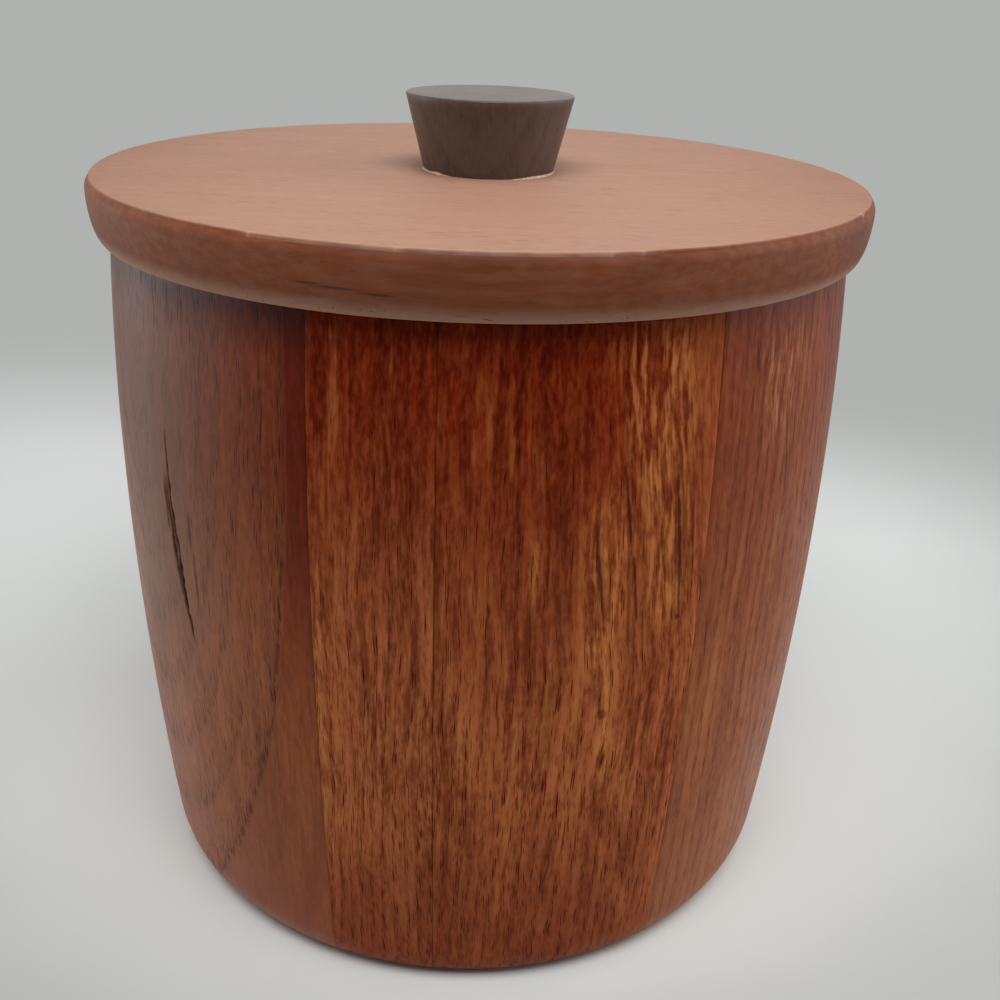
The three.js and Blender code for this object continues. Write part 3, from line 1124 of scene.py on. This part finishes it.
def set_aside(obj):
    """Shifts a piece's points, because the knob sits to the right of the lid's centre."""
    obj.data.transform(Matrix.Translation(Vector((KNOB_ASIDE, 0, 0)) * MM))


def make_knob():
    board = Board(
        across=Vector((1, 0, 0)), through=Vector((0, -1, 0)), grain=Vector((0, 0, 1)),
        pith=(15, -60), lean=0.0, ring=3.5, seed=18.0, figure=0.05, contrast=0.4, pores=0.25, pore_shade=0.6,
        dark=(0.065, 0.044, 0.033), light=(0.12, 0.08, 0.06), glow=(0.22, 0.13, 0.09), shine=0.45,
    )
    side = line((KNOB_FOOT_RADIUS, LID_TOP), (KNOB_TOP_RADIUS, KNOB_TOP - KNOB_EDGE_ROUND), 12)
    socket_top = LID_TOP + DOWEL_SOCKET
    profile = chain(
        [(0, socket_top), (DOWEL_HOLE, socket_top), (DOWEL_HOLE, LID_TOP)],
        side,
        arc(KNOB_TOP_RADIUS - KNOB_EDGE_ROUND, KNOB_TOP - KNOB_EDGE_ROUND, KNOB_EDGE_ROUND, 0, 90, 6),
        disc(KNOB_TOP_RADIUS - KNOB_EDGE_ROUND, KNOB_TOP, 3)[::-1],
    )
    obj = turned_piece("knob_wood", profile, 160, wood("knob_dark_wood", board))
    set_aside(obj)
    stands_for(obj, "knob", "lid")


def dried_glue():
    g = Graph(bpy.data.materials.new("dried_glue"))
    place = g.object_mm()
    blotch = g.noise(place, detail=4.0)
    colour = g.mix(g.step(blotch, 0.3, 0.7), (0.42, 0.27, 0.16), (0.66, 0.52, 0.36))
    g.surface({"Base Color": colour, "Roughness": g.step(blotch, 0.3, 0.7, 0.35, 0.6)})
    g.bump(0.4, 0.1, g.noise(g.scaled(place, 4.0)))
    return g.owner


def bead_swell(azimuth):
    """Share of the full glue bead at an azimuth, which is wiped off along the front."""
    turn = from_front(azimuth)
    low, high = WIPED_GLUE
    left = clamp(max(low - turn, turn - high) / WIPED_GLUE_EASE + 0.3)
    place = Vector((sin(radians(azimuth)), cos(radians(azimuth)), 1.0))
    return max(0.03, left * (0.75 + 0.5 * noise.noise(place * 4)))


def make_bead():
    """The glue that was squeezed out round the knob's foot, and has dried."""
    wall = KNOB_FOOT_RADIUS + BEAD_CLEARANCE
    slope = (KNOB_TOP_RADIUS - KNOB_FOOT_RADIUS) / (KNOB_TOP - LID_TOP)

    def swollen(azimuth, radius, height):
        share = bead_swell(azimuth)
        rise = (height - LID_TOP) * share
        return wall + slope * max(0.0, rise) + (radius - wall) * share, LID_TOP + rise

    fillet = arc(wall + BEAD_WIDTH, LID_TOP + BEAD_HEIGHT, BEAD_WIDTH, 180, 270, 6)
    fillet = [(r, LID_TOP + (z - LID_TOP) * BEAD_HEIGHT / BEAD_WIDTH) for r, z in fillet]
    low = LID_TOP - BEAD_SUNK
    profile = chain([(wall, low), (wall + BEAD_WIDTH, low)], fillet[::-1])
    obj = turned_piece("knob_glue", profile, 160, dried_glue(), swollen)
    set_aside(obj)
    stands_for(obj, "knob_glue_bead", "lid")


def make_dowel():
    board = Board(
        across=Vector((1, 0, 0)), through=Vector((0, 1, 0)), grain=Vector((0, 0, 1)),
        pith=(30, 10), lean=0.0, ring=1.8, seed=24.0, pores=0.25,
        dark=(0.45, 0.27, 0.13), light=(0.62, 0.42, 0.23), glow=(0.68, 0.5, 0.3),
    )
    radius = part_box("knob_dowel")[1].x / MM
    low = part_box("knob_dowel")[0].z / MM
    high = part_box("knob_dowel")[1].z / MM
    end_radius = radius - DOWEL_CHAMFER
    profile = chain(
        disc(end_radius, low, 2),
        [(end_radius, low), (radius, low + DOWEL_CHAMFER)],
        [(radius, high - DOWEL_CHAMFER), (end_radius, high)],
        disc(end_radius, high, 2)[::-1],
    )
    obj = turned_piece("knob_dowel_wood", profile, 48, wood("dowel_wood", board))
    stands_for(obj, "knob_dowel", "lid")


def make_base():
    board = lying_board(
        40, (10, -70), 0.02, ring=5.5, seed=21.0,
        dark=(0.22, 0.07, 0.03), light=(0.38, 0.14, 0.065), glow=(0.5, 0.23, 0.11),
    )
    profile = chain(
        disc(BASE_UNDER_RADIUS - BASE_CHAMFER, BASE_BOTTOM, 8),
        [(BASE_UNDER_RADIUS - BASE_CHAMFER, BASE_BOTTOM), (BASE_UNDER_RADIUS, BASE_BOTTOM + BASE_CHAMFER)],
        [(BASE_UNDER_RADIUS, CROZE_FLOOR), (BASE_TONGUE_RADIUS, CROZE_FLOOR)],
        [(BASE_TONGUE_RADIUS, BASE_TOP - BASE_CHAMFER), (BASE_TONGUE_RADIUS - BASE_CHAMFER, BASE_TOP)],
        disc(BASE_TONGUE_RADIUS - BASE_CHAMFER, BASE_TOP, 8)[::-1],
    )
    obj = turned_piece("base_panel_wood", profile, 180, wood("base_teak", board))
    stands_for(obj, "base_panel", "canister")


# Stage, lights and camera


def seen_directly(g):
    """1 for what the camera sees, straight or mirrored, and 0 for light that falls on the object."""
    path = g.add("LightPath", {})
    mirrored = g.most(path.outputs["Is Glossy Ray"], path.outputs["Is Transmission Ray"])
    return g.most(path.outputs["Is Camera Ray"], mirrored)


def make_floor():
    """A pale floor. Far from the object the camera sees it fade into the plain background."""
    g = Graph(bpy.data.materials.new("floor_paper"))
    place = g.object_mm()
    mottle = g.noise(g.scaled(place, 0.02))

    def behind(turn):
        """How far a place is behind the object, in a direction turned to the right."""
        a = radians(turn)
        return g.dot(place, Vector((sin(a), cos(a), 0)))

    away = g.length(place)
    # Painted light: the floor's tone is paler behind the object and near it
    tone = g.weighted((behind(FLOOR_TONE_TURN), 1.0), (away, -FLOOR_TONE_ROUND), (mottle, FLOOR_MOTTLE))
    colour = g.mix(g.step(tone, *FLOOR_TONES), FLOOR_FRONT, FLOOR_REAR)
    g.surface({"Base Color": colour, "Roughness": 0.9, "Specular IOR Level": 0.1})
    fade = g.most(g.step(away, *FLOOR_FADE), g.step(behind(FLOOR_BACK_TURN), *FLOOR_BACK_FADE))
    fade = g.times(fade, seen_directly(g))
    glow = g.add("Emission", {"Color": (*BACKGROUND, 1), "Strength": 1.0})
    blend = g.add("MixShader", {0: fade, 1: g.shader.outputs[0], 2: glow.outputs[0]})
    g.feed(g.tree.nodes["Material Output"].inputs["Surface"], blend.outputs[0])
    half = FLOOR_HALF * MM
    corners = [Vector((x * half, y * half, 0)) for x, y in ((-1, -1), (1, -1), (1, 1), (-1, 1))]
    mesh_piece("floor", corners, [[0, 1, 2, 3]], g.owner)


def area_light(name, place, aim, width, height, power):
    """A panel of light at a place in metres, turned towards its aim."""
    lamp = bpy.data.lights.new(name, "AREA")
    lamp.shape = "RECTANGLE"
    lamp.size = width
    lamp.size_y = height
    lamp.energy = power
    obj = bpy.data.objects.new(name, lamp)
    obj.location = place
    obj.rotation_euler = (Vector(aim) - Vector(place)).to_track_quat("-Z", "Y").to_euler()
    obj.visible_camera = False
    scene.collection.objects.link(obj)


def make_lights():
    world = bpy.data.worlds.new("studio")
    scene.world = world
    g = Graph(world)
    fill = [WORLD_LIGHT * c for c in WORLD_TINT]
    g.feed(g.tree.nodes["Background"].inputs["Color"], g.mix(seen_directly(g), fill, BACKGROUND))
    area_light("front_panel", (0.0, -0.32, 0.8), aim=(0, -0.1, 0.09), width=0.8, height=0.35, power=5.0)
    area_light("left_panel", (-0.55, 0.05, 0.18), aim=(0, 0, 0.08), width=0.6, height=0.32, power=1.0)
    area_light("right_panel", (0.55, 0.0, 0.32), aim=(0, 0, 0.05), width=0.6, height=0.5, power=1.75)
    area_light("back_panel", (0.0, 0.75, 0.5), aim=(0, 0, 0.09), width=1.0, height=0.6, power=1.0)


def make_camera():
    pitch, yaw, roll = [radians(a) for a in (CAMERA_PITCH, CAMERA_YAW, CAMERA_ROLL)]
    forward = Vector((sin(yaw) * cos(pitch), cos(yaw) * cos(pitch), -sin(pitch)))
    level = Vector((cos(yaw), -sin(yaw), 0))
    upward = level.cross(forward)
    right = level * cos(roll) + upward * sin(roll)
    up = upward * cos(roll) - level * sin(roll)
    lens = bpy.data.cameras.new("camera")
    lens.lens = LENS
    lens.clip_start = CAMERA_NEAR * MM
    camera = bpy.data.objects.new("camera", lens)
    turn = Matrix((right, up, -forward)).transposed().to_4x4()
    camera.matrix_world = Matrix.Translation(Vector((0, -CAMERA_BACK, CAMERA_HEIGHT)) * MM) @ turn
    scene.collection.objects.link(camera)
    scene.camera = camera


make_staves()
make_base()
make_lid()
make_plug()
make_knob()
make_bead()
make_dowel()
make_floor()
make_lights()
make_camera()
bpy.context.scene.view_settings.view_transform = "Standard"
